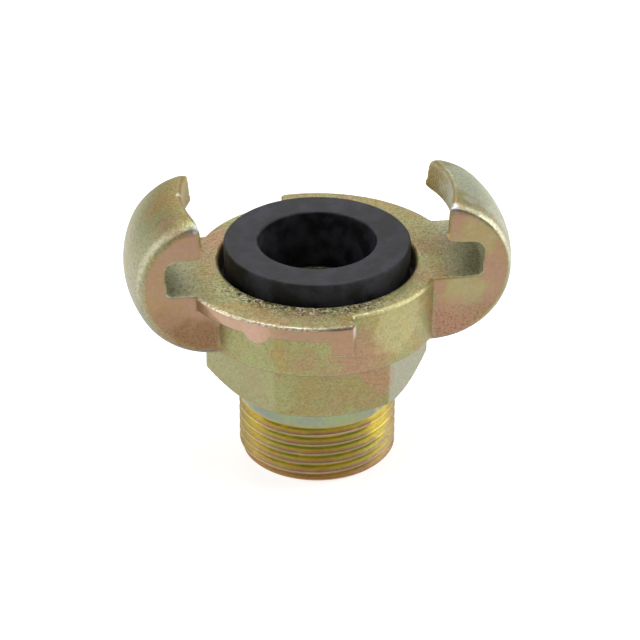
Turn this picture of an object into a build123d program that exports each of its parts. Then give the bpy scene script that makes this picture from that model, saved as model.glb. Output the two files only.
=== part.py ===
from build123d import *
from math import cos, radians, sin, sqrt, tan
import os

# A claw hose coupling with a male pipe thread. The metal body is one casting:
# threaded end, neck, six-sided hub, round flange, two locking ledges and two
# claws. A rubber ring sits in a seat in its upper face.
# Z runs along the bore, with zero on the end face of the thread. The claws lie
# on X. Lengths are in millimetres and angles in degrees.

# Threaded end: a G 3/4 pipe thread, drawn plain at its major diameter
thread_diameter = 26.44
thread_length = 11.0
thread_chamfer = 0.85
neck_length = 3.85
bore_diameter = 18.0
bore_chamfer = 0.8

# Hub for the spanner, with a turned chamfer under its corners
hub_across_flats = 32.6
hub_height = 10.0
hub_shoulder_diameter = 31.6
hub_chamfer_angle = 30.0
hub_corner_round = 0.6

# Flange
flange_diameter = 40.6
flange_height = 11.0
flange_chamfer = 0.45

# Rubber ring, with a wider foot, and the undercut seat that holds it
ring_diameter = 30.7
ring_bore_diameter = 19.4
ring_height = 10.3
ring_chamfer = 0.4
foot_diameter = 35.0
foot_height = 3.0
seat_depth = 7.0
seat_mouth_gap = 0.9
seat_foot_gap = 0.15
seat_mouth_chamfer = 0.4

# Claws: a round back, hollowed by a pocket under a hook that points inwards.
# Their radii from the bore's axis follow from that of the hook's tip.
hook_tip_radius = 21.9
back_arc_radius = 12.4
back_arc_inset = 2.5
claw_drop = 0.7
claw_width = 20.8
claw_draft_angle = 2.6
ledge_side_round = 3.2
ledge_side_cut = 0.35
open_side_round = 1.9
open_side_cut = 0.3
hook_tip_chamfer = 0.6
hook_lip_chamfer = 0.7
pocket_height = 6.3
pocket_depth = 5.6
pocket_roof_round = 1.6
pocket_floor_chamfer = 0.6
pocket_roof_slope = 5.0

# Locking ledge: a thin rim that starts in a claw and ends in a deeper stop,
# with a round detent on its way. Angles run from the middle of that claw.
ledge_overhang = 3.1
ledge_thickness = 2.5
ledge_end_angle = 97.5
ledge_end_round = 1.2
ledge_end_chamfer = 0.8
ledge_edge_chamfer = 0.35
stop_depth = 5.4
stop_length = 7.0
stop_ramp_length = 2.9
detent_angle = 57.0
detent_radius = 2.4
detent_drop = 1.5

# Levels and radii that follow from these sizes
thread_radius = thread_diameter / 2
bore_radius = bore_diameter / 2
shoulder_z = thread_length + neck_length
flange_bottom_z = shoulder_z + hub_height
flange_top_z = flange_bottom_z + flange_height
flange_radius = flange_diameter / 2
seat_floor_z = flange_top_z - seat_depth
ledge_radius = flange_radius + ledge_overhang
back_centre_radius = hook_tip_radius - back_arc_inset
claw_bottom_z = flange_bottom_z - claw_drop
claw_top_z = claw_bottom_z + 2 * back_arc_radius
back_centre_z = claw_bottom_z + back_arc_radius
claw_reach = back_centre_radius + back_arc_radius
pocket_wall_radius = hook_tip_radius + pocket_depth


def disc(radius, bottom, top):
    """A round slab on the bore's axis, between two levels."""
    return Pos(0, 0, bottom) * Cylinder(
        radius, top - bottom, align=(Align.CENTER, Align.CENTER, Align.MIN)
    )


def wedge(radius, bottom, top, end):
    """A slice of a disc, from the X axis round to an angle."""
    face = Pos(radius / 2, (bottom + top) / 2) * Rectangle(radius, top - bottom)
    return revolve(Plane.XZ * face, Axis.Z, end)


def turned(*places):
    """A solid of revolution about the bore's axis, from the corners of its half section."""
    return revolve(Plane.XZ * make_face(Polyline(*places, close=True)), Axis.Z)


def facing_out(angle, z):
    """A plane on the bore's axis that faces outwards, its x running round the bore."""
    out = (cos(radians(angle)), sin(radians(angle)), 0)
    round_about = (-sin(radians(angle)), cos(radians(angle)), 0)
    return Plane(origin=(0, 0, z), x_dir=round_about, z_dir=out)


def nearest_corner(sketch, place):
    """The corner of a flat sketch that lies at a place."""
    return sketch.vertices().sort_by_distance((*place, 0))[0]


def stem():
    """The neck and the threaded end, running up into the hub."""
    rod = disc(thread_radius, 0, shoulder_z + 1)
    return chamfer(rod.edges().sort_by(Axis.Z)[0], thread_chamfer)


def bore():
    """What the drill takes out, with the chamfer at the threaded end."""
    return turned(
        (0, 0),
        (bore_radius + bore_chamfer, 0),
        (bore_radius, bore_chamfer),
        (bore_radius, seat_floor_z),
        (0, seat_floor_z),
    )


def hub():
    """A hexagon with its corners on X, cut under by a cone."""
    corner_radius = hub_across_flats / 2 / cos(radians(30))
    hexagon = extrude(RegularPolygon(corner_radius, 6), hub_height)
    hexagon = fillet(hexagon.edges().filter_by(Axis.Z), hub_corner_round)
    shoulder_radius = hub_shoulder_diameter / 2
    reach = corner_radius + 1 - shoulder_radius
    cone = turned(
        (0, 0),
        (shoulder_radius, 0),
        (shoulder_radius + reach, reach * tan(radians(hub_chamfer_angle))),
        (shoulder_radius + reach, hub_height),
        (0, hub_height),
    )
    return Pos(0, 0, shoulder_z) * (hexagon & cone)


def flange():
    """The round flange, without its seat."""
    slab = disc(flange_radius, flange_bottom_z, flange_top_z)
    return chamfer(slab.edges().filter_by(GeomType.CIRCLE), flange_chamfer)


def seat():
    """What is turned out of the flange for the rubber ring, wider round its foot."""
    mouth = ring_diameter / 2 + seat_mouth_gap
    foot_room = foot_diameter / 2 + seat_foot_gap
    foot_room_z = seat_floor_z + foot_height + seat_foot_gap
    return turned(
        (0, seat_floor_z),
        (foot_room, seat_floor_z),
        (foot_room, foot_room_z),
        (mouth, foot_room_z),
        (mouth, flange_top_z - seat_mouth_chamfer),
        (mouth + seat_mouth_chamfer, flange_top_z),
        (mouth + seat_mouth_chamfer, flange_top_z + 1),
        (0, flange_top_z + 1),
    )


def sealing_ring():
    """The rubber ring, standing on its wide foot in the seat."""
    inner = ring_bore_diameter / 2
    outer = ring_diameter / 2
    top = seat_floor_z + ring_height
    foot_top = seat_floor_z + foot_height
    return turned(
        (inner, seat_floor_z),
        (foot_diameter / 2, seat_floor_z),
        (foot_diameter / 2, foot_top),
        (outer, foot_top),
        (outer, top - ring_chamfer),
        (outer - ring_chamfer, top),
        (inner + ring_chamfer, top),
        (inner, top - ring_chamfer),
    )


def back_section():
    """Half section on the XZ plane of the block that the claws are cut from."""
    bottom_end = (back_centre_radius, claw_bottom_z)
    top_end = (back_centre_radius, claw_top_z)
    outline = Curve() + [
        Line((0, claw_bottom_z), bottom_end),
        ThreePointArc(bottom_end, (claw_reach, back_centre_z), top_end),
        Polyline(top_end, (0, claw_top_z), (0, claw_bottom_z)),
    ]
    return Plane.XZ * make_face(outline)


def hook_section():
    """Half section of what is turned out to leave the pocket and the hook's blunt tip."""
    above = claw_top_z + 1
    roof_z = flange_top_z + pocket_height
    lip = (hook_tip_radius, roof_z)
    roof_corner = (pocket_wall_radius, roof_z - pocket_depth * tan(radians(pocket_roof_slope)))
    floor_corner = (pocket_wall_radius, flange_top_z)

    # The tip's face ends in a chamfer, which runs out through the back's arc
    past_centre = hook_tip_radius - back_centre_radius
    tip_z = back_centre_z + sqrt(back_arc_radius**2 - past_centre**2)
    chamfer_start = (hook_tip_radius, tip_z - hook_tip_chamfer)
    chamfer_end = (hook_tip_radius + hook_tip_chamfer + 1, tip_z + 1)

    outline = Polyline(
        (0, above),
        (0, flange_top_z),
        floor_corner,
        roof_corner,
        lip,
        chamfer_start,
        chamfer_end,
        (chamfer_end[0], above),
        close=True,
    )
    section = make_face(outline)
    section = fillet(nearest_corner(section, roof_corner), pocket_roof_round)
    section = chamfer(nearest_corner(section, floor_corner), pocket_floor_chamfer)
    return Plane.XZ * chamfer(nearest_corner(section, lip), hook_lip_chamfer)


def claw_slab(ledge_side_extra, open_side_extra):
    """What the two sides of a claw leave, drafted so that it narrows upwards."""
    height = claw_top_z - claw_bottom_z
    narrowing = height * tan(radians(claw_draft_angle))
    left = -claw_width / 2 - open_side_extra
    right = claw_width / 2 + ledge_side_extra
    side = Polyline(
        (left, 0), (right, 0), (right - narrowing, height), (left + narrowing, height), close=True
    )
    slab = extrude(Plane.YZ * make_face(side), claw_reach + 1)
    return Pos(0, 0, claw_bottom_z) * slab


def claw():
    """The claw on +X: turned, cut to width, rounded, faced flat and hollowed."""
    half_turn = 60
    start = Rot(0, 0, -half_turn)
    solid = start * revolve(back_section(), Axis.Z, 2 * half_turn)
    solid &= claw_slab(ledge_side_cut, open_side_cut)
    for way, size in ((-1, ledge_side_round), (0, open_side_round)):
        side = solid.faces().filter_by(GeomType.PLANE).sort_by(Axis.Y)[way]
        solid = fillet(side.edges().sort_by(SortBy.LENGTH)[-1], size)
    solid &= claw_slab(0, 0)
    return solid - start * revolve(hook_section(), Axis.Z, 2 * half_turn)


def ledge():
    """The rim from the claw on +X round to its stop, with the detent below it."""
    top = flange_top_z
    rim = wedge(ledge_radius, top - ledge_thickness, top, ledge_end_angle)
    room = wedge(ledge_radius, top - stop_depth, top, ledge_end_angle)
    stop_side = make_face(
        Polyline(
            (0, 0),
            (-stop_length, 0),
            (-stop_length, -ledge_thickness),
            (stop_ramp_length - stop_length, -stop_depth),
            (0, -stop_depth),
            close=True,
        )
    )
    stop_side = fillet(nearest_corner(stop_side, (0, -stop_depth)), ledge_end_round)
    stop = room & extrude(facing_out(ledge_end_angle, top) * stop_side, ledge_radius + 1)
    button = facing_out(detent_angle, top - detent_drop) * Circle(detent_radius)
    detent = room & extrude(button, ledge_radius + 1)
    solid = rim + stop + detent
    end_corner = Rot(0, 0, ledge_end_angle) * Pos(ledge_radius, 0, top) * Rot(0, 0, 45)
    corner_side = ledge_end_chamfer * sqrt(2)
    solid -= end_corner * Box(corner_side, corner_side, 2 * stop_depth + 1)
    top_edges = solid.faces().sort_by(Axis.Z)[-1].edges().filter_by(GeomType.CIRCLE)
    rim_edge = top_edges.sort_by(SortBy.LENGTH)[-1]
    return chamfer(rim_edge, ledge_edge_chamfer)


def coupling_body():
    """The one casting, with its second half turned round from the first."""
    half = claw() + ledge()
    return flange() + hub() + stem() + half + Rot(0, 0, 180) * half - seat() - bore()


os.makedirs("parts", exist_ok=True)
export_step(coupling_body(), "parts/coupling_body.step")
export_step(sealing_ring(), "parts/sealing_ring.step")
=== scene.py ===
# %% [markdown]
# # Claw hose coupling
# This is a quick coupling for an air or water hose. One casting carries a male pipe
# thread, a hub with six flats for the spanner, a round flange, two locking ledges and
# two claws. A black rubber ring in its face seals against the ring of the other half.
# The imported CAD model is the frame: every size and place comes from it. Here its
# casting gets a worked skin, a real thread and a plated finish, and the ring gets
# soft moulded edges.

# %% Load the frame
from math import cos, pi, radians, sin

import bmesh
import bpy
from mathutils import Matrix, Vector


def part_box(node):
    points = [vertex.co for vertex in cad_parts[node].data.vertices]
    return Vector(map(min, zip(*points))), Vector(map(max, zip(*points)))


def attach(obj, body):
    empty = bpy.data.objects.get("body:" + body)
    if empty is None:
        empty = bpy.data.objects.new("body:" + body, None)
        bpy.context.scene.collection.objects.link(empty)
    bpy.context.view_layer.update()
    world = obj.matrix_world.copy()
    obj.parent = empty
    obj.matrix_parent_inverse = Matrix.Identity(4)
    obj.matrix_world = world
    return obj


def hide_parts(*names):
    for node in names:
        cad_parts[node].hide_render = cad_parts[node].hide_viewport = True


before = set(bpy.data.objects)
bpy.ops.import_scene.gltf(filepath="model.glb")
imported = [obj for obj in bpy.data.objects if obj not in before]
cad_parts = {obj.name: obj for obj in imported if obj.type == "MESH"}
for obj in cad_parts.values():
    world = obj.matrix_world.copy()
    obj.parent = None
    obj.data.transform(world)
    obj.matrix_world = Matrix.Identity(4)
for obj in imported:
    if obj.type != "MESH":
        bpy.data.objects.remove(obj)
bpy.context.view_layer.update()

mm = 0.001
print("CAD nodes:", sorted(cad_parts))

# %% [markdown]
# The sizes below are those of the CAD model, in millimetres and degrees. They say where
# the neck meets the hub, where the flange, its ledges and the claws lie, and how large
# they are, so that each piece and each finish can be told its place.

# %% Sizes that the pieces share
thread_radius = 13.22
bore_radius = 9.0
shoulder_z = 14.85
flange_bottom_z = 24.85
flange_top_z = 35.85
flange_radius = 20.3

ledge_radius = 23.4
ledge_bottom_z = 33.35
ledge_end_angle = 97.5
detent_angle = 57.0
detent_radius = 2.4
detent_z = 34.35

tip_radius = 21.9
pocket_wall_radius = 27.5
claw_width = 20.8
claw_bottom_z = 24.15
claw_draft_angle = 2.6
back_arc_radius = 12.4
back_middle_radius = 19.4
back_middle_z = 36.55
print("height of the casting's shoulder:", shoulder_z, "mm")

# %% [markdown]
# Most steps work on one object with Blender's operators, as they would by hand. The
# loader leaves the CAD nodes selected, so each step first lets go of everything.


# %% Helpers to pick up and finish an object
def pick(*objects):
    """Select these objects alone and make the first one active."""
    if bpy.context.object and bpy.context.object.mode != "OBJECT":
        bpy.ops.object.mode_set(mode="OBJECT")
    bpy.ops.object.select_all(action="DESELECT")
    for piece in objects:
        piece.select_set(True)
    bpy.context.view_layer.objects.active = objects[0]


def edit_all(piece):
    """Open an object in edit mode with all of its mesh selected."""
    pick(piece)
    bpy.ops.object.mode_set(mode="EDIT")
    bpy.ops.mesh.select_all(action="SELECT")


def object_mode():
    bpy.ops.object.mode_set(mode="OBJECT")


def finish_with(piece, name, kind, **settings):
    """Add a modifier to an object, set it and apply it."""
    pick(piece)
    modifier = piece.modifiers.new(name, kind)
    for setting, value in settings.items():
        setattr(modifier, setting, value)
    bpy.ops.object.modifier_apply(modifier=modifier.name)


def say(piece):
    """Print how much mesh an object holds."""
    triangles = sum(len(face.vertices) - 2 for face in piece.data.polygons)
    print(piece.name, "has", triangles, "triangles")


# %% [markdown]
# The real body is cast and then blasted with shot, so its edges are soft and its
# corners are filled a little. A bevel on every edge would stumble over the many small
# faces of the CAD mesh. Instead a merged copy is remeshed in fine even cells, which a
# few rounds of smoothing soften as shot does.

# %% The skin of the casting
cell = 0.25 * mm
merge_distance = 0.002 * mm

casting_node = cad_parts["coupling_body"]
coupling = casting_node.copy()
coupling.data = casting_node.data.copy()
coupling.name = "cast_coupling"
bpy.context.scene.collection.objects.link(coupling)
edit_all(coupling)
bpy.ops.mesh.remove_doubles(threshold=merge_distance)
object_mode()
finish_with(coupling, "even cells", "REMESH", mode="VOXEL", voxel_size=cell, adaptivity=0)
finish_with(coupling, "softened edges", "SMOOTH", factor=0.5, iterations=2)
say(coupling)

# %% [markdown]
# The upper corners of the claws' tips are rounder than the rest, because a thin corner
# fills badly in the mould. Rounds of smoothing on the points within reach of such a
# corner give that. The reach shrinks from pass to pass, so that the rounding fades out
# and leaves no border.

# %% The corners of the claws' tips
tip_corner = Vector((19.8, 9.3, 48.2)) * mm
for reach, rounds in ((4.0, 5), (3.2, 8), (2.4, 12), (1.7, 16)):
    edit_all(coupling)
    bpy.ops.mesh.select_all(action="DESELECT")
    mesh = bmesh.from_edit_mesh(coupling.data)
    for point in mesh.verts:
        in_corner = Vector((abs(point.co.x), abs(point.co.y), point.co.z)) - tip_corner
        point.select_set(in_corner.length < reach * mm)
    mesh.select_flush(True)
    bpy.ops.mesh.vertices_smooth(factor=0.5, repeat=rounds)
    object_mode()
tip_z = max(corner[2] for corner in coupling.bound_box)
print("height of the rounded tips:", round(tip_z / mm, 2), "mm")

# %% [markdown]
# The flat faces need far fewer triangles than the edges, and a Decimate modifier takes
# most of its share from them.

# %% Thin the flat faces
kept_share = 0.36
finish_with(coupling, "thinned faces", "DECIMATE", ratio=kept_share)
say(coupling)

# %% [markdown]
# The thread is cut, not cast, and its flanks are finer than the cells. So the skin is
# cut off across the plain neck, and a turned end with a real thread takes its place.

# %% Cut the skin across the neck
neck_cut_z = 13.1
edit_all(coupling)
bpy.ops.mesh.bisect(plane_co=(0, 0, neck_cut_z * mm), plane_no=(0, 0, 1), clear_inner=True)
object_mode()
say(coupling)

# %% [markdown]
# A lathe makes two of the shapes here: the threaded end and the mould of the rubber
# ring. Spin could turn a half section that is drawn first, edge by edge. A circle that
# is drawn out from ring to ring along the section needs no such edges, so the helper
# does that, and joins the last ring to the first.


# %% A helper that turns a half section
def turned(name, half_section, segments):
    """A closed solid of revolution, from the radius and height of each of its corners."""
    radius, z = half_section[0]
    bpy.ops.object.select_all(action="DESELECT")
    bpy.ops.mesh.primitive_circle_add(vertices=segments, radius=radius * mm)
    piece = bpy.context.object
    piece.name = name
    edit_all(piece)
    bpy.ops.transform.translate(value=(0, 0, z * mm))
    for next_radius, next_z in half_section[1:] + half_section[:1]:
        rise = {"value": (0, 0, (next_z - z) * mm)}
        bpy.ops.mesh.extrude_region_move(TRANSFORM_OT_translate=rise)
        ratio = next_radius / radius
        bpy.ops.transform.resize(
            value=(ratio, ratio, 1), center_override=(0, 0, next_z * mm)
        )
        radius, z = next_radius, next_z
    bpy.ops.mesh.select_all(action="SELECT")
    bpy.ops.mesh.remove_doubles(threshold=merge_distance)
    bpy.ops.mesh.normals_make_consistent(inside=False)
    object_mode()
    return piece


print("half sections can be turned")

# %% [markdown]
# The end starts as a plain tube with a chamfer at each of its lower edges, as it leaves
# the lathe before its thread is cut. It reaches up past the place where it will be
# joined to the skin.

# %% The plain turned end
end_chamfer = 0.85
bore_chamfer = 0.8
broken_edge = 0.12
end_top_z = 14.0
threaded_end = turned(
    "threaded_end",
    [
        (thread_radius, end_top_z),
        (thread_radius, end_chamfer),
        (thread_radius - end_chamfer, 0),
        (bore_radius + bore_chamfer, 0),
        (bore_radius, bore_chamfer),
        (bore_radius, end_top_z),
    ],
    segments=144,
)
finish_with(
    threaded_end, "broken edges", "BEVEL", width=broken_edge * mm, segments=2,
    limit_method="ANGLE", angle_limit=radians(30),
)
say(threaded_end)

# %% [markdown]
# A pipe thread has flanks at 55 degrees to each other, with round crests and roots. A
# bump could only hint at it, and its outline against the floor would stay straight. So
# the groove is drawn once as a closed outline, swept along the helix and cut out.

# %% The outline of the groove
thread_pitch = 1.814
thread_depth = 1.162
first_groove_z = -2.38
groove_turns = 7.5
run_out_turns = 0.6
steps_per_turn = 96
root_radius = thread_radius - thread_depth

# Half of the groove's outline, from its root out: height from its middle, and radius
groove_side = [
    (0.12, root_radius + 0.03),
    (0.221, root_radius + 0.134),
    (0.686, thread_radius - 0.134),
    (0.787, thread_radius - 0.032),
    (0.87, thread_radius + 0.004),
    (0.88, thread_radius + 0.9),
]
groove_outline = [(-rise, radius) for rise, radius in reversed(groove_side)]
groove_outline += [(0, root_radius)] + groove_side
print("corners of the groove's outline:", len(groove_outline))

# %% [markdown]
# A flat circle with as many corners as the outline has its corners moved to their places.
# The Screw modifier turns it about Z and lifts it by one pitch for each turn.

# %% Sweep the groove along its helix
bpy.ops.object.select_all(action="DESELECT")
bpy.ops.mesh.primitive_circle_add(vertices=len(groove_outline), radius=mm)
groove = bpy.context.object
groove.name = "thread_groove"
for corner, (rise, radius) in zip(groove.data.vertices, groove_outline):
    corner.co = (0, -radius * mm, (first_groove_z + rise) * mm)
finish_with(
    groove, "helix", "SCREW", angle=2 * pi * groove_turns,
    screw_offset=thread_pitch * groove_turns * mm,
    steps=int(steps_per_turn * groove_turns),
    render_steps=int(steps_per_turn * groove_turns), use_merge_vertices=False,
)
points = groove.data.vertices
print("helix runs from", points[0].co[:], "to", points[-1].co[:])

# %% [markdown]
# Over its last half turn the groove runs out of the metal, as it does where the die
# stops, so its points are lifted outwards there. The rings of the sweep follow one
# another, each with as many points as the outline, which gives each point its turn.

# %% Let the groove run out, and close its ends
ring_size = len(groove_outline)
last_ring = len(points) // ring_size - 1
for index, point in enumerate(points):
    turns_left = (last_ring - index // ring_size) / steps_per_turn
    lift = max(0.0, 1 - turns_left / run_out_turns) * thread_depth * mm
    flat = Vector((point.co.x, point.co.y, 0))
    point.co += flat.normalized() * lift
edit_all(groove)
bpy.ops.mesh.select_all(action="DESELECT")
bpy.ops.mesh.select_non_manifold()
bpy.ops.mesh.edge_face_add()
bpy.ops.mesh.select_all(action="SELECT")
bpy.ops.mesh.normals_make_consistent(inside=False)
object_mode()
say(groove)

# %% [markdown]
# A Boolean takes the swept groove out of the turned end. Where the helix grazes an
# edge, it leaves points almost on top of one another. Those that are closer than a
# sliver's width are merged.

# %% Cut the groove
sliver = 0.012 * mm
finish_with(
    threaded_end, "cut thread", "BOOLEAN", object=groove, operation="DIFFERENCE", solver="EXACT"
)
bpy.data.objects.remove(groove)
edit_all(threaded_end)
bpy.ops.mesh.remove_doubles(threshold=sliver)
object_mode()
say(threaded_end)

# %% [markdown]
# The two parts of the casting become one closed mesh. The turned end is cut off just
# under the skin's edge, and the two rims on the outside, and the two in the bore, are
# bridged.

# %% Join the thread to the casting
gap = 0.2
edit_all(threaded_end)
bpy.ops.mesh.bisect(
    plane_co=(0, 0, (neck_cut_z - gap) * mm), plane_no=(0, 0, 1), clear_outer=True
)
object_mode()
pick(coupling, threaded_end)
bpy.ops.object.join()
rim_middle = (bore_radius + thread_radius) / 2


def bridge_rims(outside):
    """Close the gap between the two rims outside the neck, or inside the bore."""
    edit_all(coupling)
    bpy.ops.mesh.select_all(action="DESELECT")
    mesh = bmesh.from_edit_mesh(coupling.data)
    for edge in mesh.edges:
        if edge.is_boundary:
            middle = (edge.verts[0].co + edge.verts[1].co) / 2
            edge.select_set((middle.xy.length > rim_middle * mm) == outside)
    bpy.ops.mesh.bridge_edge_loops()
    object_mode()


bridge_rims(outside=True)
bridge_rims(outside=False)
edit_all(coupling)
bpy.ops.mesh.normals_make_consistent(inside=False)
object_mode()
open_edges = bmesh.new()
open_edges.from_mesh(coupling.data)
print("open edges:", sum(not edge.is_manifold for edge in open_edges.edges))
open_edges.free()
say(coupling)

# %% [markdown]
# The skin is shaded smooth all over, since its edges are now round. Weighted normals
# keep the large faces flat.

# %% Shade the casting and put it in the frame
pick(coupling)
bpy.ops.object.shade_smooth_by_angle(angle=radians(60))
finish_with(coupling, "flat faces", "WEIGHTED_NORMAL", keep_sharp=True)
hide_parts("coupling_body")
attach(coupling, "root")
print("the casting stands for the CAD body")

# %% [markdown]
# The rubber ring is moulded. It is turned from its sharp half section, with a wide foot
# that sits under the mouth of the seat, and a Bevel modifier rounds its edges. A plain
# tube would be quicker, but it has no foot to hold it in the casting.

# %% The rubber ring
ring_low, ring_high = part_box("sealing_ring")
ring_floor_z = ring_low.z / mm
ring_top_z = ring_high.z / mm
ring_bore_radius = 9.7
ring_radius = 15.35
foot_radius = 17.5
foot_height = 3.0
edge_round = 0.35
rubber_ring = turned(
    "rubber_ring",
    [
        (ring_bore_radius, ring_floor_z),
        (foot_radius, ring_floor_z),
        (foot_radius, ring_floor_z + foot_height),
        (ring_radius, ring_floor_z + foot_height),
        (ring_radius, ring_top_z),
        (ring_bore_radius, ring_top_z),
    ],
    segments=160,
)
finish_with(
    rubber_ring, "moulded edges", "BEVEL", width=edge_round * mm, segments=4,
    limit_method="ANGLE", angle_limit=radians(30),
)
pick(rubber_ring)
bpy.ops.object.shade_smooth_by_angle(angle=radians(40))
finish_with(rubber_ring, "flat faces", "WEIGHTED_NORMAL", keep_sharp=True)
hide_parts("sealing_ring")
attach(rubber_ring, "root")
say(rubber_ring)

# %% [markdown]
# The finishes are mixed from noise of several sizes. Their nodes could be added and
# linked one by one, as by hand, but that takes a page for each patch of colour. So a
# socket is wrapped, and can be added and multiplied like a number.


# %% A socket that works as a number
class Level:
    """The output of a node, used in sums as if it were a number."""

    def __init__(self, finish, socket):
        self.finish, self.socket = finish, socket

    def maths(self, operation, first, second):
        return self.finish.node("ShaderNodeMath", {"operation": operation}, {0: first, 1: second})

    def __add__(self, other):
        return self.maths("ADD", self, other)

    def __radd__(self, other):
        return self.maths("ADD", other, self)

    def __sub__(self, other):
        return self.maths("SUBTRACT", self, other)

    def __rsub__(self, other):
        return self.maths("SUBTRACT", other, self)

    def __mul__(self, other):
        return self.maths("MULTIPLY", self, other)

    def __rmul__(self, other):
        return self.maths("MULTIPLY", other, self)

    def __pow__(self, other):
        return self.maths("POWER", self, other)

    def __abs__(self):
        return self.maths("ABSOLUTE", self, 0)


print("sockets can be used in sums")

# %% [markdown]
# A finish is one material. Its method called node adds any node, with its settings and
# sockets. The others are the mixtures that come back again and again: noise of a given
# size, masks that rise or fall between two levels, and colours laid over one another.


# %% A finish built node by node
class Finish:
    """A new material, built node by node around one Principled shader."""

    def __init__(self, name, film=None):
        self.material = bpy.data.materials.new(name)
        self.material.use_nodes = True
        self.tree = self.material.node_tree
        self.shader = self.tree.nodes["Principled BSDF"]
        self.place = self.node("ShaderNodeTexCoord", output="Object")
        self.film = film

    def node(self, kind, settings=None, sockets=None, output=0):
        """Add a node: its settings first, then the value or link of each socket."""
        made = self.tree.nodes.new(kind)
        for setting, value in (settings or {}).items():
            setattr(made, setting, value)
        for socket, value in (sockets or {}).items():
            self.feed(made.inputs[socket], value)
        return Level(self, made.outputs[output])

    def feed(self, socket, value):
        if isinstance(value, Level):
            self.tree.links.new(value.socket, socket)
        else:
            socket.default_value = value

    def parts(self, vector):
        """The three parts of a vector, as a level each."""
        split = self.node("ShaderNodeSeparateXYZ", sockets={0: vector})
        return [Level(self, part) for part in split.socket.node.outputs]

    def noise(self, size, detail=2.0, roughness=0.5, shift=0.0):
        """Noise whose lumps are about this many millimetres across."""
        moved = self.node(
            "ShaderNodeVectorMath", {"operation": "ADD"},
            {0: self.place, 1: (shift, shift * 0.7, -shift)},
        )
        return self.node(
            "ShaderNodeTexNoise", {},
            {"Vector": moved, "Scale": 1 / (size * mm), "Detail": detail, "Roughness": roughness},
        )

    def rises(self, level, low, high):
        """0 up to a low level and 1 from a high one on, with a smooth step between them."""
        return self.node(
            "ShaderNodeMapRange", {"interpolation_type": "SMOOTHSTEP"},
            {"Value": level, "From Min": low, "From Max": high},
        )

    def falls(self, level, low, high):
        """1 up to a low level and 0 from a high one on."""
        return 1 - self.rises(level, low, high)

    def blend(self, share, first, second):
        """A mix of two colours, by a share of the second."""
        return self.node(
            "ShaderNodeMix", {"data_type": "RGBA"},
            {"Factor": share, 6: first, 7: second}, output=2,
        )

    def paint(self, share, shade):
        """Lay a colour over the film, by a share."""
        self.film = self.blend(share, self.film, shade)

    def tint(self, shade, level):
        """A colour made lighter or darker by a level."""
        grey = self.node("ShaderNodeCombineXYZ", sockets={0: level, 1: level, 2: level})
        return self.node(
            "ShaderNodeMix", {"data_type": "RGBA", "blend_type": "MULTIPLY"},
            {"Factor": 1.0, 6: shade, 7: grey}, output=2,
        )

    def bump(self, height, strength, distance):
        """A bumped normal, from a height that counts for this many millimetres."""
        return self.node(
            "ShaderNodeBump",
            sockets={"Strength": strength, "Distance": distance * mm, "Height": height},
        )

    def set(self, **values):
        """Set the shader's own sockets, named with an underscore for each space."""
        for name, value in values.items():
            self.feed(self.shader.inputs[name.replace("_", " ")], value)


print("finishes can be mixed")


# %% A colour as the eye names it
def colour(red, green, blue):
    """A colour given as it looks on the screen, from 0 to 255."""
    linear = [((part / 255 + 0.055) / 1.055) ** 2.4 for part in (red, green, blue)]
    return (*linear, 1.0)


print("middle grey is", round(colour(128, 128, 128)[0], 3))

# %% [markdown]
# The metal is zinc plated and passivated in chromate. That thin film turns the grey zinc
# to a greenish gold with patches of pink and pale green, all of them a few millimetres
# across and soft at their edges. Noise of several sizes mixes those colours.

# %% The colours of the film
olive = colour(156, 147, 98)
gold = colour(170, 142, 78)
rose = colour(172, 130, 106)
pale_green = colour(158, 162, 110)
pale_yellow = colour(182, 176, 124)
silver = colour(204, 205, 196)
green_silver = colour(178, 184, 146)
low_shade_grey = colour(140, 138, 120)
brown = colour(132, 98, 60)
steel = colour(104, 104, 110)
zinc_highlight = colour(228, 230, 236)
worn_and_highlit = colour(240, 230, 206)
thread_highlight_yellow = colour(232, 214, 104)
print("rose is", [round(part, 3) for part in rose])

# %% [markdown]
# From here on, a level called x, y, z or radius is a place on the object in millimetres,
# and the three called facing say which way the surface looks. The two numbers of a mask
# are the levels between which it changes. The noises are kept by name, because later
# steps use them again.

# %% Places, directions and the first patches
plating = Finish("yellow chromate on zinc", film=olive)
x, y, z = (part * (1 / mm) for part in plating.parts(plating.place))
radius = (x * x + y * y) ** 0.5
facing = plating.node("ShaderNodeNewGeometry", output="Normal")
facing_x, facing_y, facing_z = plating.parts(facing)

middling = plating.noise(2.6, detail=3.0, shift=0.37)
small = plating.noise(0.9, detail=2.0, shift=0.61)
wide = plating.noise(9.0, detail=1.5)
greenish = plating.rises(wide * 0.5 + middling * 0.5, 0.42, 0.6)
rosy = plating.rises(plating.noise(5.0, detail=3.0, shift=0.83), 0.5, 0.64)
golden = plating.rises(plating.noise(4.0, detail=3.0, shift=1.31), 0.48, 0.62)
plating.paint(greenish * 0.7, pale_green)
plating.paint(golden * 0.45, gold)
plating.paint(rosy * 0.38, rose)

# The outer backs of the claws are paler, partly from their film and partly as a painted
# reflection, and low down they carry a painted shade
outer_back = plating.rises(radius, 25.0, 30.0) * plating.rises(abs(facing_x), 0.25, 0.8)
plating.paint(outer_back * 0.4, plating.blend(greenish, silver, green_silver))
plating.paint(outer_back * plating.falls(z, 31.0, 42.0) * 0.6, low_shade_grey)
print("nodes so far:", len(plating.tree.nodes))

# %% [markdown]
# The casting's own faces differ too. The claws' flat ends and the outside of the ledge
# were pressed smooth, and took a pink film. The pressed part of the ledge is as deep as
# its rim, and deeper at the detent and at the stop.

# %% The pressed faces
pressed_pink = colour(158, 124, 104)
pressed_gold = colour(152, 128, 84)
strip_pink = colour(192, 158, 138)
root_brown = colour(150, 122, 86)
detent_pink = colour(196, 158, 142)
stop_bottom_z = 30.8
stop_length = 4.0

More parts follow.
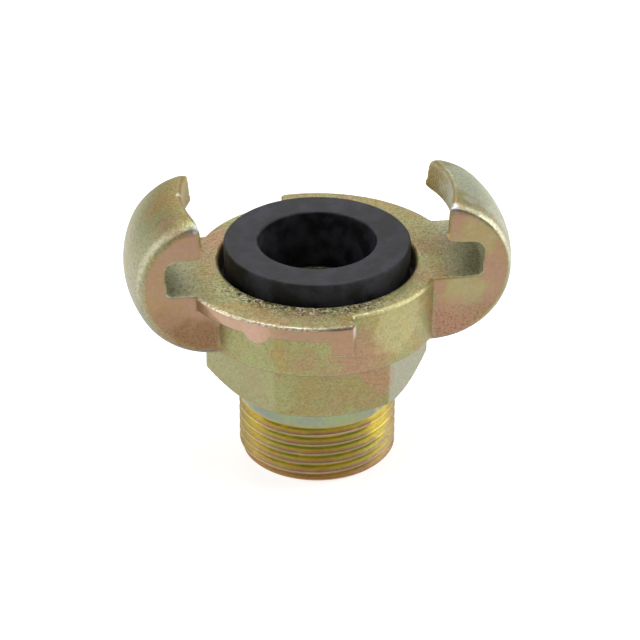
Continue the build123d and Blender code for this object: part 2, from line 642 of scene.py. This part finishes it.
on_claw = plating.rises(abs(x), 15.0, 16.5)
end_face = plating.rises(abs(facing_y), 0.95, 0.985) * on_claw
ledge_strip = (
    plating.rises(radius, ledge_radius - 0.5, ledge_radius - 0.2)
    * plating.falls(radius, ledge_radius + 0.1, ledge_radius + 0.3)
    * plating.falls(facing_z, 0.4, 0.8)
)
in_ledge = plating.rises(z, ledge_bottom_z - 0.05, ledge_bottom_z + 0.05)
end_turn = radians(ledge_end_angle)
from_end = abs(x * sin(end_turn) - y * cos(end_turn))
stop_side = plating.rises(z, stop_bottom_z, stop_bottom_z + 0.15)
stop_side = stop_side * plating.falls(from_end, stop_length, stop_length + 0.6)
detent_turn = radians(detent_angle)
beside_detent = y * cos(detent_turn) - x * sin(detent_turn)
above_detent = z - detent_z
from_detent = (beside_detent * beside_detent + above_detent * above_detent) ** 0.5
detent = plating.falls(from_detent, detent_radius - 0.05, detent_radius + 0.1)
pressed = end_face + ledge_strip * plating.rises(in_ledge + stop_side + detent, 0.0, 1.0)
pressed = plating.rises(pressed, 0.1, 0.9)

free_strip = ledge_strip * (1 - end_face)
pressed_rose = plating.blend(golden * 0.4, pressed_pink, pressed_gold)
strip_end = free_strip * plating.rises(abs(x), 8.0, 14.0)
pressed_rose = plating.blend(strip_end * 0.8, pressed_rose, strip_pink)
plating.paint(pressed * 0.85, pressed_rose)

# Where the ledge leaves its claw, the pink strip tapers out of the rough brown root
taper_start, taper_slope = 17.0, 0.64
above_taper = z - ledge_bottom_z - (abs(x) - taper_start) * taper_slope
tapered = free_strip * plating.falls(above_taper, -0.35, 0.2)
tapered = tapered * plating.rises(abs(x), taper_start - 1.0, taper_start + 0.5)
plating.paint(tapered * 0.85, root_brown)
plating.paint(detent * ledge_strip * 0.3, detent_pink)
print("pressed faces told apart")

# %% [markdown]
# The hub's flats are pale at the sides and olive in front. The blunt tips of the claws
# are golden. Inside their pockets the film is painted pale and greenish, as a painted
# light that brightens their shade.

# %% The hub, the tips and the pockets
left_grey, right_grey = colour(158, 154, 112), colour(158, 160, 140)
front_olive = colour(150, 140, 92)
tip_gold = colour(178, 154, 94)
pocket_painted_light_green = colour(192, 192, 158)

on_hub = plating.rises(z, shoulder_z + 0.35, shoulder_z + 0.75)
on_hub = on_hub * plating.falls(z, flange_bottom_z - 0.15, flange_bottom_z)
side_flat = plating.rises(abs(facing_x), 0.55, 0.75) * on_hub
side_grey = plating.blend(plating.rises(x, -1.0, 1.0), left_grey, right_grey)
plating.paint(side_flat * 0.75, side_grey)
middle_flat = plating.rises(abs(facing_y), 0.9, 0.97) * on_hub
plating.paint(middle_flat * 0.5, front_olive)

tip_face = on_claw * plating.falls(radius, tip_radius + 0.2, tip_radius + 0.5)
tip_face = tip_face * plating.rises(z, 42.0, 42.5)
plating.paint(tip_face * 0.75, tip_gold)
# Inside the pockets the film is painted paler, a painted light against their shade
in_pocket = plating.rises(abs(x), 19.0, 23.5) * plating.falls(z, 42.3, 43.0)
in_pocket = in_pocket * plating.rises(z, flange_top_z - 0.25, flange_top_z - 0.1)
in_pocket = in_pocket * plating.falls(radius, pocket_wall_radius + 0.1, pocket_wall_radius + 0.3)
plating.paint(in_pocket * (1 - end_face) * 0.85, pocket_painted_light_green)
print("nodes so far:", len(plating.tree.nodes))

# %% [markdown]
# The threaded end was cut after casting, so its film is cleaner and brighter. It is a
# bluish grey on the neck, green at the thread's roots, amber on its flanks and pale pink
# on its crests. Inside the bore it is painted dark, as a painted shade.

# %% The neck, the thread and the bore
side_highlight_yellow = colour(244, 226, 152)
crest_brown = colour(150, 118, 92)
end_pink = colour(192, 152, 130)
bore_shade = colour(60, 56, 46)

near_axis = plating.falls(radius, 13.4, 13.9)
thread_share = plating.falls(z, 10.8, 11.6) * near_axis
below_hub = plating.falls(z, shoulder_z - 0.25, shoulder_z + 0.05) * near_axis
neck_grey = plating.blend(greenish, colour(130, 146, 134), colour(142, 154, 116))
plating.paint(below_hub * 0.85, neck_grey)

root_green = plating.blend(rosy, colour(152, 160, 72), colour(186, 172, 68))
flank_amber = plating.blend(greenish, colour(216, 182, 104), colour(210, 200, 106))
crest_pink = plating.blend(golden, colour(192, 164, 136), colour(204, 188, 130))
thread_film = plating.blend(plating.rises(radius, 12.25, 12.6), root_green, flank_amber)
thread_film = plating.blend(plating.rises(radius, 12.65, 12.95), thread_film, crest_pink)
# The sides of the thread get a painted highlight in yellow
thread_film = plating.blend(plating.rises(abs(x), 8.0, 13.0) * 0.55, thread_film, side_highlight_yellow)
crest_line = plating.rises(radius, 13.0, 13.12)
thread_film = plating.blend(crest_line * 0.55, thread_film, crest_brown)
last_turn = plating.falls(z, 0.9, 2.4)
thread_film = plating.blend(last_turn * 0.6, thread_film, end_pink)
plating.paint(thread_share, thread_film)
# The bore is painted dark, a painted shade
plating.paint(plating.falls(radius, 9.8, 10.2) * 0.9, bore_shade)
print("threaded end finished")

# %% [markdown]
# Where the film ran together or the casting was touched up, there are larger blots.
# Each is given a place, a reach in millimetres, a colour and how strong it is, and
# noise makes its edge ragged.


# %% The blots
def blot(place, reach):
    """1 about a place, given in millimetres, and 0 beyond a ragged edge."""
    centre = tuple(part * mm for part in place)
    apart = plating.node(
        "ShaderNodeVectorMath", {"operation": "DISTANCE"},
        {0: plating.place, 1: centre}, output="Value",
    )
    ragged = apart * (1 / mm) + (middling - 0.5) * (1.6 * reach)
    return plating.falls(ragged, 0.45 * reach, reach)


# Most blots are film; a few bright ones are painted highlights, marked below
blots = [
    ((-21.0, -10.4, 27.0), 6.0, brown, 0.65),
    ((-25.5, -10.4, 31.0), 4.0, brown, 0.3),
    ((22.5, -10.4, 33.0), 4.5, pale_green, 0.5),
    ((20.5, -10.4, 27.5), 6.0, rose, 0.6),
    ((25.0, -9.4, 43.0), 4.5, olive, 0.6),
    ((4.0, -20.0, 27.5), 7.5, rose, 0.65),
    ((-13.5, -15.0, 28.5), 5.5, pale_green, 0.6),
    ((11.5, -17.0, 32.0), 7.0, pale_yellow, 0.8),
    ((-17.0, 7.5, 35.8), 6.0, rose, 0.6),
    ((20.5, 1.0, 35.8), 5.0, brown, 0.35),
    ((-25.0, 1.0, 47.5), 6.0, gold, 0.45),
    ((-28.5, -4.0, 43.5), 5.0, pale_green, 0.5),
    ((26.5, 0.0, 46.5), 9.0, colour(194, 202, 178), 0.7),
    # The small bright spots at the claws' tips are partly chipped zinc and partly painted
    # highlights
    ((-20.4, -9.0, 47.9), 1.5, zinc_highlight, 0.7),
    ((-22.4, 1.2, 48.5), 0.75, worn_and_highlit, 0.8),
    ((20.9, -8.8, 48.7), 1.5, zinc_highlight, 0.7),
    ((8.0, -16.3, 21.5), 3.6, rose, 0.6),
    ((-10.0, -16.0, 20.5), 4.5, pale_green, 0.5),
    # Painted highlights in bright yellow on the thread's flanks
    ((9.5, -9.2, 8.6), 3.8, thread_highlight_yellow, 0.75),
    ((-12.0, -5.5, 8.6), 3.4, thread_highlight_yellow, 0.45),
    ((9.0, 19.0, 28.0), 8.0, rose, 0.5),
    ((-10.0, 18.0, 32.0), 7.0, pale_green, 0.5),
]
for place, reach, shade, strength in blots:
    plating.paint(blot(place, reach) * strength, shade)
print("blots:", len(blots))

# %% [markdown]
# The flange's own edge carries a painted highlight, a thin yellow line. Handling and
# tumbling chip the ledge's edge down to bright zinc, which also carries a painted
# highlight, and it turns grey towards its stop. The edges are found as faces that look
# half upwards and half outwards.

# %% Worn edges and painted highlights of the flange and the ledge
edge_highlight_yellow = colour(236, 226, 172)

turning = plating.rises(facing_z, 0.15, 0.35) * plating.falls(facing_z, 0.93, 0.99)
at_top = plating.rises(z, flange_top_z - 0.65, flange_top_z - 0.45)
at_top = at_top * plating.falls(z, flange_top_z + 0.15, flange_top_z + 0.25)
flange_edge = plating.rises(radius, flange_radius - 0.6, flange_radius - 0.4)
flange_edge = flange_edge * plating.falls(radius, flange_radius + 0.1, flange_radius + 0.3)
rim_edge = plating.rises(radius, ledge_radius - 0.6, ledge_radius - 0.4)
beside_claw = plating.rises(abs(y), 10.3, 10.6)
# Painted highlights along the edges, on the ledge partly over chipped zinc
rubbed_and_highlit = turning * at_top * (flange_edge * (1 - on_claw) + rim_edge * beside_claw)
chips = plating.rises(plating.noise(0.5, detail=2.0, shift=0.91), 0.4, 0.58)
rubbed_and_highlit = rubbed_and_highlit * (0.15 + chips * 0.65 * rim_edge + (1 - rim_edge) * (0.2 + chips * 0.2))
past_middle = x * plating.node("ShaderNodeMath", {"operation": "SIGN"}, {0: 0 - y})
greyed = rim_edge * plating.rises(past_middle, -5.0, 0.0)
bare_and_highlit_edge = plating.blend(rim_edge, edge_highlight_yellow, worn_and_highlit)
plating.paint(rubbed_and_highlit, plating.blend(greyed, bare_and_highlit_edge, steel))

# The cut corner at each ledge's free end is brown, with a painted highlight at its top
end_corner = radians(ledge_end_angle + 45)
corner_way = abs(facing_x * cos(end_corner) + facing_y * sin(end_corner))
at_corner = plating.rises(corner_way, 0.9, 0.96) * plating.rises(radius, 21.5, 22.0)
at_corner = at_corner * (1 - on_claw)
plating.paint(at_corner * 0.6 * plating.rises(z, 30.0, 30.5), brown)
plating.paint(at_corner * 0.5 * plating.rises(z, 32.5, 35.3), zinc_highlight)
print("edges of the flange worn")

# %% [markdown]
# A press squeezed the ends of the claws flat, which left a grey line round each end.
# Beside it on the round back lies a painted highlight, a bright band where the round
# edge meets the light. Both follow the claw's drafted side, so the band is found by how
# far a point lies from that side.

# %% Worn edges and a painted highlight on the claws, and painted shade on downward faces
band_highlight_cream = colour(236, 234, 208)
underside_shade_grey = colour(112, 102, 104)

back_x, back_z = abs(x) - back_middle_radius, z - back_middle_z
from_back_middle = (back_x * back_x + back_z * back_z) ** 0.5
outer_arc = plating.rises(from_back_middle, back_arc_radius - 2.0, back_arc_radius - 1.2)
outer_arc = outer_arc * on_claw
pressed_line = plating.rises(abs(facing_y), 0.74, 0.82) * plating.falls(abs(facing_y), 0.93, 0.97)
plating.paint(pressed_line * outer_arc * 0.7, steel)
draft = sin(radians(claw_draft_angle))
from_side = (claw_width / 2 + claw_bottom_z * draft) - abs(y) - z * draft
# A painted highlight along the round edge beside each end
highlight_band = (
    plating.falls(from_side, 0.5, 1.9) * outer_arc
    * plating.falls(abs(facing_y), 0.72, 0.78) * plating.rises(z, 33.0, 40.0)
)
broken = 0.35 + 0.5 * plating.rises(middling, 0.4, 0.6)
near_tip = plating.rises(z, 45.5, 48.0)
plating.paint(highlight_band * broken * (1 - near_tip * 0.6), band_highlight_cream)

tip_edge = on_claw * plating.rises(z, 47.9, 48.1)
tip_edge = tip_edge * plating.falls(radius, tip_radius + 0.6, tip_radius + 0.9)
tip_edge = (tip_face + tip_edge) * plating.rises(facing_z, 0.3, 0.5)
plating.paint(tip_edge * plating.falls(abs(facing_y), 0.2, 0.4) * 0.12, brown)

# Faces that look downwards, off the neck and thread, get a painted shade in darker grey
shaded_underside = plating.falls(facing_z, -0.65, -0.3) * (1 - below_hub)
plating.paint(shaded_underside * 0.5, underside_shade_grey)
print("edges of the claws worn")

# %% [markdown]
# Shot blasting left a fine grain on the cast skin, which catches the light unevenly. It
# is a bump of many small pits, with dark dots in them and bright dots of painted glints.
# It is coarse on the flange's upper face, most of all before the ring, and at the foot
# of the claws' ends.

# %% The cast grain
pit_dark = colour(56, 50, 38)

rough_root = plating.falls(z, 28.0, 34.0) * end_face
cast_skin = (1 - pressed * (1 - rough_root * 0.8)) * (1 - below_hub)
coarse = plating.rises(facing_z, 0.8, 0.95) * plating.falls(z, 36.0, 36.3)
grit = coarse * plating.falls(radius, 17.4, 20.2)
grit = grit * plating.falls(y, -11.0, -4.0) * plating.falls(x, 5.0, 12.0)
pits = plating.rises(plating.noise(0.4, detail=2.0, shift=0.13), 0.5, 0.6)
pits = pits * (0.17 + on_claw * 0.04 + rough_root * 0.2 + coarse * 0.14 + grit * 0.8)
plating.paint(pits * cast_skin, pit_dark)
# Bright dots of painted highlight, as glints
glints = plating.rises(plating.noise(0.4, detail=2.0, shift=1.7), 0.52, 0.62)
glints = glints * (0.06 + coarse * 0.1 + grit * 0.6) * (1 - rough_root * 0.8)
plating.paint(glints * cast_skin, worn_and_highlit)

grain = plating.noise(0.34, detail=2.5, roughness=0.62, shift=2.1)
mottle = plating.noise(0.6, detail=3.0, roughness=0.6, shift=2.7)
plating.set(
    Base_Color=plating.tint(plating.film, 0.76 + small * 0.2 + mottle * 0.28),
    Roughness=0.32 + cast_skin * 0.1 + small * 0.12 + thread_share * 0.12,
    Normal=plating.bump(grain * (0.1 + cast_skin * 0.9) + small * 0.5, 1.0, 0.13),
    Metallic=0.85,
)
coupling.data.materials.clear()
coupling.data.materials.append(plating.material)
print(plating.material.name, "has", len(plating.tree.nodes), "nodes")

# %% [markdown]
# The rubber is black and matt, with the faint bloom and dust that a moulded ring always
# carries, and a skin too fine to see as more than a dull sheen.

# %% The rubber finish
rubber = Finish("black moulded rubber", film=colour(12, 12, 14))
bloom = rubber.rises(rubber.noise(3.2, detail=4.0, roughness=0.6), 0.38, 0.64)
dust = rubber.rises(rubber.noise(0.4, detail=2.0, shift=0.5), 0.62, 0.75)
skin = rubber.noise(0.5, detail=3.0, shift=1.4)
rubber.paint(bloom, colour(48, 48, 56))
rubber.paint(dust * 0.3, colour(78, 78, 80))
rubber.set(
    Base_Color=rubber.film, Roughness=0.55 + bloom * 0.12, Normal=rubber.bump(skin, 0.3, 0.03),
    Metallic=0.0, Specular_IOR_Level=0.36,
)
rubber_ring.data.materials.clear()
rubber_ring.data.materials.append(rubber.material)
print(rubber.material.name, "has", len(rubber.tree.nodes), "nodes")

# %% [markdown]
# The coupling stands on a plain white floor, bright enough to melt into the background,
# so that only a faint shadow is left under the thread.

# %% The floor
bpy.ops.object.select_all(action="DESELECT")
bpy.ops.mesh.primitive_plane_add(size=6.0)
floor = bpy.context.object
floor.name = "studio_floor"
paper = Finish("white paper")
fibres = paper.noise(3.0)
paper.set(
    Base_Color=paper.blend(fibres, (0.48, 0.48, 0.48, 1), (0.5, 0.5, 0.5, 1)), Roughness=0.9,
    Emission_Color=(1, 1, 1, 1), Emission_Strength=0.75,
)
floor.data.materials.append(paper.material)
print("floor laid")

# %% [markdown]
# Soft studio light falls on it: one wide light overhead, a weaker one high up behind it,
# and one on each side, of which the right one is the stronger. A white world fills the
# shadows.

# %% The lights
coupling_middle = Vector((0, 0, 0.025))


def soft_light(name, place, size, watts):
    """A square light that faces the coupling's middle, placed in metres."""
    bpy.ops.object.light_add(type="AREA", location=place)
    light = bpy.context.object
    light.name = name
    light.data.size = size
    light.data.energy = watts
    aim = coupling_middle - Vector(place)
    light.rotation_euler = aim.to_track_quat("-Z", "Y").to_euler()


soft_light("overhead_light", (0.0, 0.1, 0.9), 0.6, 5.0)
soft_light("back_light", (0.0, 0.85, 0.6), 0.5, 1.6)
soft_light("left_light", (-0.8, 0.05, 0.4), 0.45, 2.0)
soft_light("right_light", (0.8, 0.05, 0.4), 0.45, 3.2)
world = bpy.data.worlds.new("studio")
world.use_nodes = True
world.node_tree.nodes["Background"].inputs["Color"].default_value = (1, 1, 1, 1)
world.node_tree.nodes["Background"].inputs["Strength"].default_value = 0.32
bpy.context.scene.world = world
bpy.context.scene.view_settings.view_transform = "Standard"

# %% [markdown]
# The camera looks down by about 30 degrees and from a little to the left. A long lens
# far away gives a weak perspective, as a photographer of small parts would choose.

# %% The camera
camera_turn = radians(8.5)
camera_distance = 362.8
camera_height = 235.5
aim_height = 23.9
eye_x, eye_y = -camera_distance * sin(camera_turn), -camera_distance * cos(camera_turn)
eye = Vector((eye_x, eye_y, camera_height)) * mm
bpy.ops.object.camera_add(location=eye)
camera = bpy.context.object
camera.name = "camera"
camera.data.lens = 141.7
camera.data.sensor_width = 36.0
camera.data.shift_x = 0.0045
camera.data.clip_start = 0.01
aim = Vector((0, 0, aim_height * mm)) - eye
camera.rotation_euler = aim.to_track_quat("-Z", "Y").to_euler()
bpy.context.scene.camera = camera
print("camera at", eye[:])
